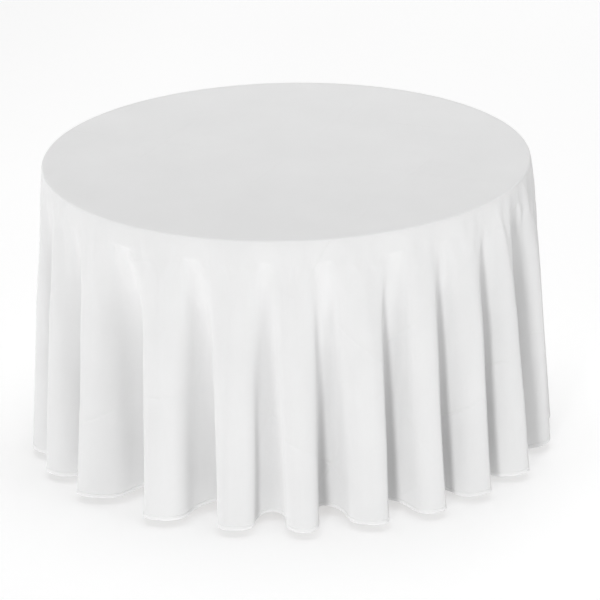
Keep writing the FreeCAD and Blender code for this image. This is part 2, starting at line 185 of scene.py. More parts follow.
# where each fold's crest hangs, in degrees round the table: 0 is the front and 90 is the right-hand side
CRESTS_FRONT = (-80, -66.5, -51, -30, -12.5, 0.6, 16.2, 31, 44.5, 58, 76)
CRESTS_BACK = (91, 106.5, 121, 136.5, 152, 167, 183, 199, 214, 229.5, 245, 262)
crests = np.radians(CRESTS_FRONT + CRESTS_BACK)
fold_count = len(crests)
spoke_count = fold_count * SPOKES_PER_FOLD

first_valley = (crests[0] + crests[-1] - 2 * np.pi) / 2
spoke = np.linspace(0, 2 * np.pi, spoke_count, endpoint=False) + first_valley
spoke_gap = 2 * np.pi / spoke_count
fine_from, fine_to = TOP_Z - EDGE_BOTTOM - FINE_ABOVE, TOP_Z - EDGE_BOTTOM + FINE_BELOW
rings = np.concatenate((
    np.linspace(0, fine_from, 4)[:-1],
    np.arange(fine_from, fine_to, FINE_GAP),
    np.linspace(fine_to, SKIRT_LENGTH, 1 + round((SKIRT_LENGTH - fine_to) / RING_GAP)),
))
print(fold_count, "folds,", spoke_count, "spokes,", len(rings), "rings below the rim")
print(f"way round the table {2 * np.pi * RIM:.2f} m, edge of the cut {2 * np.pi * CUT_RADIUS:.2f} m")

# %% [markdown]
# ## The line of a fold
#
# Seen from above, a hanging edge winds in and out. A strip that is bent as little as it can be winds like a
# river: its direction swings from side to side as a sine of the distance along it. That line has one more
# good point: its length is known without measuring, so from 0.3 m down it gives each ring the cloth it has.
# Higher up the folds are held shallower, and the rings there come out up to nine hundredths shorter
# than their cut. Real cloth would shear or pucker instead. The swing is found by halving, ring by ring, until
# the folds close once round the table. Towards the sides the folds lean over a little, away from the front,
# which closes the gap behind each one. Where each crest hangs, and how far the folds lean and flare, is
# chosen.

# %% The line of a fold
# each spoke's place among the folds: whole numbers are the valleys, halves are the crests
around = np.concatenate((crests[-3:] - 2 * np.pi, crests, crests[:3] + 2 * np.pi))
fold_place = np.interp(spoke, around, np.arange(len(around))) + 0.5 + 1e-9
fold_part = fold_place % 1

LEAN = 0.09  # share of a fold's cloth that goes over from one flank to the other
SHARP_EDGE = 0.6  # 0 for a round turn into the short flank, towards 1 for a crease
BROAD_CRESTS = ((0.05, 0.5), (0.2, 0.28), (SKIRT_LENGTH, 0.08))
LEAN_GROWS = ((0.05, 0.0), (0.15, 0.3), (0.3, 0.75), (SKIRT_LENGTH, 1.0))
# which way the folds lean, as pairs of a direction in degrees and a lean: below 0 to the left, above 0 to the
# right
LEANS = (
    (-88, -0.8), (-22, -1), (-9, -0.6), (-2, 0.5), (14, 0.75), (30, 0.8), (100, 0.8), (140, 0.3), (225, -0.4),
    (272, -0.8),
)
# how much of their whole flare the crests have, and how much of its whole depth a fold has, down the skirt
FLARE_GROWS = ((0, 0.01), (0.03, 0.12), (0.067, 0.27), (0.165, 0.47), (0.317, 0.69), (SKIRT_LENGTH, 1.0))
DEPTH_GROWS = ((0, 0), (0.05, 0.03), (0.08, 0.28), (0.12, 0.55), (0.2, 0.85), (0.3, 1))
WIDEST_SWING = 2.3  # radians: beyond this the line would cross itself
HALVINGS = 30
LEVEL_SAMPLES = 25

lean_from, leans = zip(*LEANS)
lean_way = np.interp(spoke, np.radians(lean_from), leans)


def grows(down, steps):
    """A value that changes down the skirt, from pairs of length and value."""
    return np.interp(down, *zip(*steps))


fold_starts = np.flatnonzero(np.diff(np.floor(fold_place), prepend=-99))


def fold_wave(stage, short_flank, sharp, broad):
    """Swing of the line over a fold, from -1 to 1. The short flank turns in and out of its line sharply."""
    plain = np.sin(stage)
    square = np.sign(plain) * np.abs(plain) ** (1 - sharp)
    return np.where(short_flank, square, plain) + broad * np.sin(2 * stage)


def heading(swing, down):
    """Direction of the ring at each spoke, in radians off the way round the table."""
    broad = grows(down, BROAD_CRESTS)
    lean = lean_way * grows(down, LEAN_GROWS)
    share, sharp = 0.5 + LEAN * lean, SHARP_EDGE * np.abs(lean)
    stage = np.where(fold_part < share, fold_part / share, 1 + (fold_part - share) / (1 - share)) * np.pi
    course = swing * fold_wave(stage, (stage > np.pi) == (lean > 0), sharp, broad)

    # turn the whole fold by the angle that brings its end level with its start
    half = np.linspace(0, np.pi, LEVEL_SAMPLES)[:, None]
    first = swing * fold_wave(half, lean <= 0, sharp, broad)
    second = swing * fold_wave(np.pi + half, lean > 0, sharp, broad)
    level_sin = share * np.sin(first).mean(axis=0) + (1 - share) * np.sin(second).mean(axis=0)
    level_cos = share * np.cos(first).mean(axis=0) + (1 - share) * np.cos(second).mean(axis=0)
    return course - np.arctan2(level_sin, level_cos)


def below_crests(rise):
    """How far each spoke lies inside the line that joins its fold's crest to the next one's."""
    tops = [part[np.argmax(rise[part])] for part in np.split(np.arange(spoke_count), fold_starts[1:])]
    return np.interp(np.arange(spoke_count), tops, rise[tops], period=spoke_count) - rise


def rise_of(inwards):
    """How far in each spoke stands, without the drift that would keep the ring open."""
    even = inwards - inwards.mean()
    return np.cumsum(even) - even


def crest_radius(down):
    """How far out the crests stand, at a length down the skirt."""
    return RIM + (CREST_AT_HEM - RIM) * grows(down, FLARE_GROWS)


def wound_ring(down):
    """Directions and radii of one ring, at a length down the skirt."""
    step = (RIM + down) * spoke_gap
    low, high = 0.0, WIDEST_SWING
    for _ in range(HALVINGS):
        swing = (low + high) / 2
        course = heading(swing, down)
        depth = below_crests(rise_of(np.sin(course) * step))
        radius = crest_radius(down) - depth
        if np.sum(np.cos(course) * step / radius) > 2 * np.pi:
            low = swing
        else:
            high = swing
    eased = grows(down, DEPTH_GROWS)
    radius = crest_radius(down) - depth * eased
    steps = np.cos(course) * step / radius
    turned = np.cumsum(steps) - steps

    # crests keep their own directions from top to bottom
    marks = np.arange(math.ceil(fold_place[0] - 0.5) + 0.5, fold_place[-1], 1.0)
    got, wanted = np.interp(marks, fold_place, turned), np.interp(marks, fold_place, spoke)
    once = turned[-1] + steps[-1]
    got = np.concatenate((got - once, got, got + once))
    wanted = np.concatenate((wanted - 2 * np.pi, wanted, wanted + 2 * np.pi))
    direction = np.interp(turned, got, wanted)
    return spoke + (direction - spoke) * eased, radius, swing


_, radius, swing = wound_ring(SKIRT_LENGTH)
print(f"at the hem: swing {math.degrees(swing):.0f} degrees, radius {radius.min():.3f} to {radius.max():.3f}")

# %% [markdown]
# ## Hanging the skirt
#
# Each ring is wound at its own size, and then every spoke is let down: what it spends on going in or out it
# can't spend on going down. Behind the table's straight edge a valley can't go further in than the edge
# itself.

# %% Hanging the skirt
EDGE_FLARE = 0.02  # how much the cloth leans out beside the table's edge, for its length
LEAST_DROP = 0.35  # how much of a stretch of spoke goes down at the least

skirt = np.zeros((len(rings), spoke_count, 3))
for i, down in enumerate(rings):
    if i:
        direction, radius, _ = wound_ring(down)
    else:
        direction, radius = spoke, np.full(spoke_count, RIM)
    if TOP_Z - down > EDGE_BOTTOM - FINE_GAP:
        radius = np.maximum(radius, RIM + EDGE_FLARE * down)
    skirt[i, :, 0] = radius * np.sin(direction)
    skirt[i, :, 1] = -radius * np.cos(direction)

skirt[0, :, 2] = TOP_Z
for i in range(1, len(rings)):
    along = rings[i] - rings[i - 1]
    sideways = np.sum((skirt[i, :, :2] - skirt[i - 1, :, :2]) ** 2, axis=1)
    skirt[i, :, 2] = skirt[i - 1, :, 2] - np.sqrt(np.maximum(along**2 - sideways, (LEAST_DROP * along) ** 2))
print(f"hem {skirt[-1, :, 2].min():.4f} to {skirt[-1, :, 2].max():.4f} m above the floor")

# %% [markdown]
# ## Letting it hang
#
# The wound line gives the folds their shape. Blender's Cloth modifier only eases it: the skirt hangs for a
# short while under its own weight, and moves by some millimetres, most where the folds leave the table's
# edge. The flat cut goes in as the rest shape, so the cloth knows how long each of its threads really is. The
# part that lies on the table is pinned. The table itself is a plain drum, a little smaller than the real one,
# so that the modifier's own clearance doesn't push the rim out. The cell prints how far the cloth moved, and
# how much it still moved in the last frame, because it is stopped shortly before it has come to rest.

# %% Letting it hang
WAVE_DEPTH = 0.0022
WAVE_GROWS = ((0.05, 0), (0.09, 1), (0.4, 0.7), (SKIRT_LENGTH, 0.9))
# size, count round the table, start and bend of each set of waves
WAVES = ((1.0, 37, 0.4, 0.9), (0.8, 61, 2.1, 1.6), (0.55, 88, 4.0, 2.2))
PINNED_RINGS = (0.50, 0.56, 0.597, RIM)
SETTLE_FRAMES = 34
DRUM_SMALLER, DRUM_LOWER = 0.0043, 0.004  # room for the modifier's own clearance


def ring_points(radius, z=TOP_Z):
    return np.stack((radius * np.sin(spoke), -radius * np.cos(spoke), np.full(spoke_count, z)), axis=1)


def wheel_faces(ring_count, first=0):
    """Quads between rings, wound so that their faces point up and out."""
    index = first + np.arange(ring_count * spoke_count).reshape(ring_count, spoke_count)
    right = np.roll(index, -1, axis=1)
    return np.stack((index[:-1], index[1:], right[1:], right[:-1]), axis=-1).reshape(-1, 4)


def new_object(name, points, faces):
    mesh = bpy.data.meshes.new(name)
    mesh.from_pydata(np.asarray(points).reshape(-1, 3).tolist(), [], [list(map(int, f)) for f in faces])
    mesh.update()
    made = bpy.data.objects.new(name, mesh)
    bpy.context.collection.objects.link(made)
    return made


def let_hang(skirt):
    """The skirt after it has hung for a short while under its own weight."""
    hung = np.concatenate((np.stack([ring_points(r) for r in PINNED_RINGS[:-1]]), skirt))
    flat = np.stack([ring_points(r) for r in (*PINNED_RINGS[:-1], *(RIM + rings))])
    cloth = new_object("hanging_cloth", hung, wheel_faces(len(hung)))
    cloth.shape_key_add(name="Basis")
    cut = cloth.shape_key_add(name="flat_cut")
    cut.data.foreach_set("co", flat.reshape(-1))
    cut.value = 0
    held = cloth.vertex_groups.new(name="held")
    held.add(list(range(len(PINNED_RINGS) * spoke_count)), 1.0, "REPLACE")

    drum_height = TOP_Z - EDGE_BOTTOM - DRUM_LOWER
    bpy.ops.mesh.primitive_cylinder_add(
        vertices=256, radius=RIM - DRUM_SMALLER, depth=drum_height,
        location=(0, 0, EDGE_BOTTOM + drum_height / 2),
    )
    drum = bpy.context.object
    drum.modifiers.new("touch", "COLLISION")
    drum.collision.thickness_outer = 0.001

    modifier = cloth.modifiers.new("hang", "CLOTH")
    cloth_settings = modifier.settings
    cloth_settings.quality = 6
    cloth_settings.mass = 0.004
    cloth_settings.tension_stiffness = 80
    cloth_settings.compression_stiffness = 20
    cloth_settings.shear_stiffness = 5
    cloth_settings.bending_stiffness = 1.0
    cloth_settings.air_damping = 2
    cloth_settings.vertex_group_mass = held.name
    cloth_settings.rest_shape_key = cut
    modifier.collision_settings.distance_min = 0.002
    modifier.collision_settings.use_self_collision = False
    modifier.point_cache.frame_start = 1
    modifier.point_cache.frame_end = SETTLE_FRAMES
    scene.frame_start, scene.frame_end = 1, SETTLE_FRAMES
    places = before = hung
    for number in range(1, SETTLE_FRAMES + 1):
        scene.frame_set(number)
        settled = cloth.evaluated_get(bpy.context.evaluated_depsgraph_get()).data
        before, places = places, np.empty(hung.size)
        settled.vertices.foreach_get("co", places)
        places = places.reshape(hung.shape)
    moved = 1000 * np.linalg.norm(places - hung, axis=2)
    last_move = 1000 * np.linalg.norm(places - before, axis=2)
    print(f"hanging moved the cloth by {moved.mean():.1f} mm on average and {moved.max():.1f} mm at most")
    print(f"in the last frame it still moved by {last_move.mean():.2f} mm on average")
    places = places[len(PINNED_RINGS) - 1:]
    bpy.data.objects.remove(drum)
    bpy.data.objects.remove(cloth)
    scene.frame_set(1)
    return places


skirt = let_hang(skirt)

# small upright waves, four to ten centimetres wide at the rim and up to about five millimetres deep
spoke_along = np.roll(skirt, -1, axis=1) - np.roll(skirt, 1, axis=1)
across_cloth = np.stack((spoke_along[..., 1], -spoke_along[..., 0]), axis=-1)
across_cloth /= np.linalg.norm(across_cloth, axis=-1)[..., None]
wave = sum(
    size * np.sin(count * spoke + start + bend * np.sin(4 * rings[:, None] + start))
    for size, count, start, bend in WAVES
)
skirt[..., :2] += (WAVE_DEPTH * grows(rings, WAVE_GROWS)[:, None] * wave)[..., None] * across_cloth

# nothing may cut the corner where the cloth leaves the bottom of the table's edge
out_from_axis = np.hypot(skirt[..., 0], skirt[..., 1])
beside_edge = skirt[..., 2] > EDGE_BOTTOM - 1.1 * FINE_GAP
skirt[..., :2] *= np.where(beside_edge, np.maximum(out_from_axis, RIM) / out_from_axis, 1)[..., None]
spans = np.linalg.norm(np.diff(skirt, axis=0), axis=2) / np.diff(rings)[:, None]
print(f"after hanging: hem {skirt[-1, :, 2].min():.4f} to {skirt[-1, :, 2].max():.4f} m above the floor")
ring_spans = np.linalg.norm(np.roll(skirt, -1, axis=1) - skirt, axis=2) / ((RIM + rings[:, None]) * spoke_gap)
closest, widest = np.percentile(ring_spans[rings > 0.3], (5, 95))
print(
    f"spokes are {spans.mean():.3f} of their cut length, rings {ring_spans.mean(axis=1).min():.3f} at the least"
)
print(f"rings in the lower skirt, spoke to spoke: {closest:.2f} to {widest:.2f} of flat")

# %% [markdown]
# ## The sheet
#
# The skirt is joined to the part that lies on the table. Cloth turns over an edge in a small round and not in
# a crease, so a few narrow rings are put in at the rim. Each point also keeps its place in the flat cut as a
# UV map in metres. The weave will follow that map round every fold, as real threads do.

# %% The sheet
RIM_ROUND = 0.0042
TOP_RINGS = (0.2, 0.45, 0.597)
CLOTH_THICKNESS = 0.0005

turn = np.linspace(0, np.pi / 2, 5)
turn_radii = RIM - RIM_ROUND + RIM_ROUND * np.sin(turn)
turn_heights = TOP_Z - RIM_ROUND + RIM_ROUND * np.cos(turn)
turn_lengths = RIM - RIM_ROUND + RIM_ROUND * turn

sheet_rings = [ring_points(r) for r in TOP_RINGS]
sheet_rings += [ring_points(r, z) for r, z in zip(turn_radii, turn_heights)]
sheet_rings += list(skirt[1:])
cut_radii = np.array([*TOP_RINGS, *turn_lengths, *(RIM + rings[1:])])
sheet_points = np.concatenate((np.array(sheet_rings).reshape(-1, 3), [[0, 0, TOP_Z]]))
centre = len(sheet_points) - 1
middle = [(centre, i, (i + 1) % spoke_count) for i in range(spoke_count)]
sheet_faces = [*wheel_faces(len(sheet_rings)), *middle]


def add_cut_map(made, flat_points):
    """UV map in metres: each point's place in the flat cut."""
    layer = made.data.uv_layers.new(name="flat_cut")
    corners = np.empty(len(made.data.loops), dtype=int)
    made.data.loops.foreach_get("vertex_index", corners)
    layer.data.foreach_set("uv", flat_points[corners].reshape(-1))


flat_rings = np.stack([ring_points(r)[:, :2] for r in cut_radii]).reshape(-1, 2)
tablecloth = new_object("tablecloth_sheet", sheet_points, sheet_faces)
add_cut_map(tablecloth, np.concatenate((flat_rings, [[0, 0]])))
tablecloth.data.shade_smooth()


def apply_modifiers(made):
    bpy.ops.object.select_all(action="DESELECT")
    bpy.context.view_layer.objects.active = made
    made.select_set(True)
    for modifier in list(made.modifiers):
        bpy.ops.object.modifier_apply(modifier=modifier.name)


wall = tablecloth.modifiers.new("wall", "SOLIDIFY")
wall.thickness = CLOTH_THICKNESS
wall.offset = -1
apply_modifiers(tablecloth)
print("sheet:", len(tablecloth.data.polygons), "faces")

# %% [markdown]
# ## The hem
#
# The edge of the cut is turned under twice and sewn, so it is three layers thick and stands a little proud of
# the cloth. It is a strip that follows the last stretch of every spoke, with a rounded edge at the bottom,
# and it takes every bend of the folds from the sheet itself.

# %% The hem
HEM_OUT = 0.0006  # proud of the cloth's outside
HEM_IN = 0.0012  # proud on the inside, where the turning lies


def spoke_normals(lower, upper):
    """Outward normal at each spoke, between two rings."""
    across = np.roll(lower, -1, axis=0) - np.roll(lower, 1, axis=0)
    normal = np.cross(across, upper - lower)
    return normal / np.linalg.norm(normal, axis=1)[:, None]


edge_ring, ring_above = skirt[-1], skirt[-2]
outward = spoke_normals(edge_ring, ring_above)
upwards = (ring_above - edge_ring) / np.linalg.norm(ring_above - edge_ring, axis=1)[:, None]

# the strip's outline, as (distance up the cloth, distance out from it)
HEM_OUTLINE = (
    (HEM_WIDTH, 0.0001), (HEM_WIDTH - 0.0006, HEM_OUT), (0.002, HEM_OUT), (0.0002, 0.0002),
    (-0.0006, -0.0005), (0.0002, -HEM_IN), (0.002, -HEM_IN - 0.0002), (HEM_WIDTH - 0.0006, -HEM_IN),
    (HEM_WIDTH, -0.0006),
)
hem_loops = [edge_ring + up * upwards + out * outward for up, out in HEM_OUTLINE]
hem_faces = wheel_faces(len(hem_loops)).tolist()
last, first = (len(hem_loops) - 1) * spoke_count, 0
for i in range(spoke_count):
    j = (i + 1) % spoke_count
    hem_faces.append((last + i, first + i, first + j, last + j))
hem = new_object("hem_strip", np.array(hem_loops), hem_faces)
hem_cut = np.concatenate([ring_points(CUT_RADIUS - up)[:, :2] for up, _ in HEM_OUTLINE])
add_cut_map(hem, hem_cut)
hem.data.shade_smooth()
hem_run = np.linalg.norm(np.roll(edge_ring, -1, 0) - edge_ring, axis=1).sum()
print(f"hem: {HEM_WIDTH * 1000:.0f} mm wide, {hem_run:.2f} m long")

# %% [markdown]
# ## Stitches
#
# One row of lockstitch holds the hem, a few millimetres below its upper edge. One stitch is a short bead of
# thread with pointed ends. It is made once, then copied along the seam, out and in, each copy turned to lie
# along the cloth.

# %% Stitches
STITCH_LENGTH = 0.0034
STITCH_GAP = 0.0008
THREAD_WIDTH = 0.0007
SEAM_HEIGHT = HEM_WIDTH - 0.002

bpy.ops.object.select_all(action="DESELECT")
bpy.ops.mesh.primitive_uv_sphere_add(segments=5, ring_count=4, radius=0.5)
bead = bpy.context.object
bead_points = np.array([v.co[:] for v in bead.data.vertices])
bead_faces = [tuple(p.vertices) for p in bead.data.polygons]
bpy.data.objects.remove(bead)
bead_points = bead_points[:, (2, 0, 1)] * (STITCH_LENGTH, THREAD_WIDTH, THREAD_WIDTH)


def seam_frames():
    """Middle, direction, outward and upward of every stitch along the seam."""
    line = edge_ring + SEAM_HEIGHT * upwards
    closed = np.concatenate((line, line[:1]))
    lengths = np.concatenate(([0], np.cumsum(np.linalg.norm(np.diff(closed, axis=0), axis=1))))
    count = int(lengths[-1] / (STITCH_LENGTH + STITCH_GAP))
    at = (np.arange(count) + 0.5) * lengths[-1] / count
    half = STITCH_LENGTH / 2

    def sample(values, where):
        values = np.concatenate((values, values[:1]))
        return np.stack([np.interp(where % lengths[-1], lengths, values[:, k]) for k in range(3)], axis=1)

    ahead = sample(line, at + half) - sample(line, at - half)
    ahead /= np.linalg.norm(ahead, axis=1)[:, None]
    out = sample(outward, at)
    out -= np.sum(out * ahead, axis=1)[:, None] * ahead
    out /= np.linalg.norm(out, axis=1)[:, None]
    return sample(line, at), ahead, out, np.cross(ahead, out)


middles, ahead, out, up = seam_frames()
stitch_points, stitch_faces = [], []
for offset in (HEM_OUT, -HEM_IN):
    for m, a, o, u in zip(middles + offset * out, ahead, out, up):
        start = len(stitch_points) * len(bead_points)
        stitch_points.append(m + bead_points @ np.stack((a, o, u)))
        stitch_faces += [tuple(start + v for v in face) for face in bead_faces]
stitches = new_object("hem_stitches", np.concatenate(stitch_points), stitch_faces)
stitches.data.shade_smooth()
print(len(middles), "stitches on each side,", len(stitches.data.polygons), "faces")

# %% [markdown]
# ## Care label
#
# A small woven label is caught in the hem seam, inside the cloth at the back. It has no print. It starts from
# a plane that is cut into rows, curled a little, and given a thickness.

# %% Care label
label_low, label_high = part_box("care_label")
LABEL_WIDTH = label_high[0] - label_low[0]
LABEL_HEIGHT = label_high[2] - label_low[2]

nearest = np.argsort(np.abs(np.angle(np.exp(1j * (spoke - np.pi)))))[:SPOKES_PER_FOLD]
flattest = nearest[np.argmax(outward[nearest, 1])]
label_foot = (
    edge_ring[flattest] + (HEM_WIDTH - 0.003) * upwards[flattest] - (HEM_IN + 0.0012) * outward[flattest]
)
label_side = np.roll(edge_ring, -1, 0)[flattest] - np.roll(edge_ring, 1, 0)[flattest]
label_side /= np.linalg.norm(label_side)
label_up = upwards[flattest]
label_out = outward[flattest]

bpy.ops.mesh.primitive_grid_add(x_subdivisions=8, y_subdivisions=12, size=1)
label = bpy.context.object
label.name = "care_label_tape"
label_points = np.array([v.co[:] for v in label.data.vertices])
across, high = label_points[:, 0], label_points[:, 1] + 0.5
curl = 0.0035 * high**2 + 0.0012 * (4 * across**2) * high
placed = (
    label_foot
    + np.outer(across * LABEL_WIDTH, label_side)
    + np.outer(high * LABEL_HEIGHT, label_up)
    - np.outer(curl, label_out)
)
label.data.vertices.foreach_set("co", placed.reshape(-1))
label.data.update()
wall = label.modifiers.new("wall", "SOLIDIFY")
wall.thickness = 0.0004
wall.offset = 0
apply_modifiers(label)
label.data.shade_smooth()
label.matrix_world = Matrix.Identity(4)
print(f"label {LABEL_WIDTH * 1000:.0f} by {LABEL_HEIGHT * 1000:.0f} mm")

# %% [markdown]
# ## Materials: a few helpers
#
# Every finish is one Principled shader with its plain numbers set on the shader itself. Nodes add only what
# varies over the surface: a change of colour, of roughness, or a bump. Three small helpers keep the recipes
# short.


# %% Material helpers
def new_finish(name, colour, roughness, **numbers):
    """A material with a Principled shader. Numbers are its other sockets, by name."""
    material = bpy.data.materials.new(name)
    material.use_nodes = True
    shader = material.node_tree.nodes["Principled BSDF"]
    shader.inputs["Base Color"].default_value = (*colour, 1)
    shader.inputs["Roughness"].default_value = roughness
    for socket, value in numbers.items():
        shader.inputs[socket.replace("_", " ")].default_value = value
    return material


def add_node(material, kind, inputs=None, **settings):
    """A node with its settings, and its inputs set to values or linked to other nodes' sockets."""
    tree = material.node_tree
    node = tree.nodes.new(kind)
    for key, value in settings.items():
        setattr(node, key, value)
    for key, value in (inputs or {}).items():
        if isinstance(value, bpy.types.NodeSocket):
            tree.links.new(value, node.inputs[key])
        else:
            node.inputs[key].default_value = value
    return node


def drive(material, socket, source):
    """Links a pattern to one of the Principled shader's sockets."""
    material.node_tree.links.new(source, material.node_tree.nodes["Principled BSDF"].inputs[socket])


def place_on(material, coordinates, scale=(1, 1, 1), turn=0.0):
    """Coordinates from the object or from a UV map, scaled and turned."""
    if coordinates == "object":
        source = add_node(material, "ShaderNodeTexCoord").outputs["Object"]
    else:
        source = add_node(material, "ShaderNodeUVMap", uv_map=coordinates).outputs["UV"]
    mapping = add_node(material, "ShaderNodeMapping", {
        "Vector": source, "Scale": scale, "Rotation": (0, 0, turn),
    })
    return mapping.outputs["Vector"]


def shades(material, pattern, dark, light, low=0.0, high=1.0):
    """A pattern as a change between two colours."""
    ramp = add_node(material, "ShaderNodeValToRGB", {"Fac": pattern})
    ramp.color_ramp.elements[0].position, ramp.color_ramp.elements[1].position = low, high
    ramp.color_ramp.elements[0].color, ramp.color_ramp.elements[1].color = (*dark, 1), (*light, 1)
    return ramp.outputs["Color"]


def spread(material, value, low, high, to_low, to_high):
    """A number moved from one range to another."""
    node = add_node(material, "ShaderNodeMapRange", {
        "Value": value, "From Min": low, "From Max": high, "To Min": to_low, "To Max": to_high,
    })
    return node.outputs["Result"]


def reckon(material, operation, a, b):
    return add_node(material, "ShaderNodeMath", {0: a, 1: b}, operation=operation).outputs["Value"]


def bump(material, height, strength, distance, under=None):
    inputs = {"Height": height, "Strength": strength, "Distance": distance}
    if under is not None:
        inputs["Normal"] = under
    return add_node(material, "ShaderNodeBump", inputs).outputs["Normal"]


print("helpers ready")

# %% [markdown]
# ## White cloth
#
# The cloth is a plain, close weave of bright white polyester, with a soft sheen where it turns away from the
# eye. Two bands of threads cross at right angles, a little over a millimetre apart, with a few thicker
# threads among them. From storage it keeps faint straight creases where it was folded, and very slight
# differences in whiteness.

# %% White cloth
THREAD_PITCH = 0.0011
CREASE_GAP = 0.34


def woven(name, colour, roughness, sheen):
    material = new_finish(
        name, colour, roughness, Diffuse_Roughness=1.0, Sheen_Weight=sheen, Sheen_Roughness=0.45,
        Specular_IOR_Level=0.28,
    )
    cut = place_on(material, "flat_cut")
    threads = []
    for direction in ("X", "Y"):
        wave = add_node(
            material, "ShaderNodeTexWave",
            {"Vector": cut, "Scale": 0.314 / THREAD_PITCH, "Distortion": 0.6, "Detail": 1.0},
            wave_type="BANDS", bands_direction=direction,
        )
        threads.append(wave.outputs["Fac"])
    weave = reckon(material, "MULTIPLY", threads[0], threads[1])

    slubs = []
    for scale in ((38, 900, 1), (900, 38, 1)):
        noise = add_node(material, "ShaderNodeTexNoise", {
            "Vector": place_on(material, "flat_cut", scale), "Scale": 1.0, "Detail": 2.0,
        })
        slubs.append(noise.outputs["Fac"])
    slub = reckon(material, "ADD", slubs[0], slubs[1])

    folded = place_on(material, "flat_cut", turn=math.radians(24))
    axes = add_node(material, "ShaderNodeSeparateXYZ", {"Vector": folded})
    lines = []
    for axis in ("X", "Y"):
        to_line = reckon(material, "PINGPONG", axes.outputs[axis], CREASE_GAP / 2)
        lines.append(spread(material, to_line, 0.0, 0.005, 1.0, 0.0))
    crease = reckon(material, "MAXIMUM", lines[0], lines[1])
    worn = add_node(
        material, "ShaderNodeTexNoise", {"Vector": cut, "Scale": 3.1, "Detail": 3.0}
    ).outputs["Fac"]
    crease = reckon(material, "MULTIPLY", crease, spread(material, worn, 0.42, 0.62, 0.0, 1.0))

    ripple = add_node(
        material, "ShaderNodeTexNoise", {"Vector": cut, "Scale": 9.0, "Detail": 3.0}
    ).outputs["Fac"]
    normal = bump(material, ripple, 0.3, 0.004)
    normal = bump(material, crease, 0.6, 0.0011, normal)
    normal = bump(material, slub, 0.25, 0.00015, normal)
    normal = bump(material, weave, 0.35, 0.00025, normal)
    drive(material, "Normal", normal)

    blotch = add_node(
        material, "ShaderNodeTexNoise", {"Vector": cut, "Scale": 5.0, "Detail": 4.0}
    ).outputs["Fac"]
    tone = reckon(
        material, "ADD", reckon(material, "MULTIPLY", blotch, 0.6), reckon(material, "MULTIPLY", slub, 0.2)
    )
    dark = tuple(0.975 * c for c in colour)
    light = tuple(min(1.0, 1.02 * c) for c in colour)
    drive(material, "Base Color", shades(material, tone, dark, light, 0.3, 0.7))
    drive(material, "Roughness", spread(material, slub, 0.6, 1.4, roughness - 0.05, roughness + 0.05))
    return material


CLOTH_WHITE = (0.8, 0.8, 0.8)
cloth_finish = woven("white_cloth", CLOTH_WHITE, 0.78, 0.18)
hem_finish = woven("hem_cloth", (0.83, 0.83, 0.83), 0.75, 0.18)
thread_finish = new_finish("white_thread", (0.85, 0.85, 0.85), 0.5, Sheen_Weight=0.3)
label_finish = new_finish("label_tape", (0.9, 0.9, 0.89), 0.45, Sheen_Weight=0.2)
twist = add_node(thread_finish, "ShaderNodeTexNoise", {
    "Vector": place_on(thread_finish, "object", (900, 900, 900)), "Scale": 1.0,
})
drive(thread_finish, "Normal", bump(thread_finish, twist.outputs["Fac"], 0.4, 0.0002))
ribs = add_node(label_finish, "ShaderNodeTexWave", {
    "Vector": place_on(label_finish, "object"), "Scale": 260.0,
}, wave_type="BANDS", bands_direction="Z")
drive(label_finish, "Normal", bump(label_finish, ribs.outputs["Fac"], 0.5, 0.0002))
drive(label_finish, "Roughness", spread(label_finish, ribs.outputs["Fac"], 0, 1, 0.4, 0.6))

for made, finish in (
    (tablecloth, cloth_finish), (hem, hem_finish), (stitches, thread_finish), (label, label_finish),
):
    made.data.materials.clear()
    made.data.materials.append(finish)
print("cloth finishes ready")

# %% [markdown]
# ## The table's own finishes
#
# Nobody sees the table until the cloth comes off, but then everybody does. The frame's parts keep their
# shapes and get better surfaces: wood with grain along its length, speckled laminate, powder-coated steel
# with its fine orange peel, zinc-plated bars, and moulded plastic and rubber.


# %% Wood, laminate and edge band
def wood(name, dark, light, scale, roughness, rings=6.0):
    """Long grain along X with pores."""
    material = new_finish(name, light, roughness, Specular_IOR_Level=0.35)
    grain_place = place_on(material, "object", scale)
    figure = add_node(material, "ShaderNodeTexNoise", {
        "Vector": grain_place, "Scale": rings, "Detail": 6.0, "Roughness": 0.62, "Distortion": 0.6,
    }).outputs["Fac"]
    pores = add_node(material, "ShaderNodeTexNoise", {
        "Vector": place_on(material, "object", tuple(14 * s for s in scale)), "Scale": rings, "Detail": 2.0,
    }).outputs["Fac"]
    tone = reckon(
        material, "ADD", reckon(material, "MULTIPLY", figure, 0.8), reckon(material, "MULTIPLY", pores, 0.2)
    )
    drive(material, "Base Color", shades(material, tone, dark, light, 0.36, 0.64))
    drive(material, "Roughness", spread(material, pores, 0.3, 0.7, roughness - 0.08, roughness + 0.1))
    drive(material, "Normal", bump(material, pores, 0.3, 0.0004))
    return material


plywood = wood("plywood", (0.36, 0.22, 0.11), (0.58, 0.41, 0.24), (1.2, 14, 30), 0.6)
bent_ply = wood("bent_ply", (0.33, 0.2, 0.1), (0.52, 0.35, 0.19), (2, 2, 70), 0.55)
hardwood = wood("hardwood", (0.27, 0.14, 0.06), (0.45, 0.27, 0.13), (1.5, 30, 22), 0.5)

laminate = new_finish("laminate", (0.6, 0.57, 0.51), 0.35, Specular_IOR_Level=0.4)
speckle = add_node(laminate, "ShaderNodeTexNoise", {
    "Vector": place_on(laminate, "object"), "Scale": 420.0, "Detail": 2.0,
}).outputs["Fac"]
drive(laminate, "Base Color", shades(laminate, speckle, (0.5, 0.46, 0.4), (0.66, 0.63, 0.57), 0.4, 0.6))
drive(laminate, "Normal", bump(laminate, speckle, 0.1, 0.0002))
drive(laminate, "Roughness", spread(laminate, speckle, 0.3, 0.7, 0.3, 0.42))


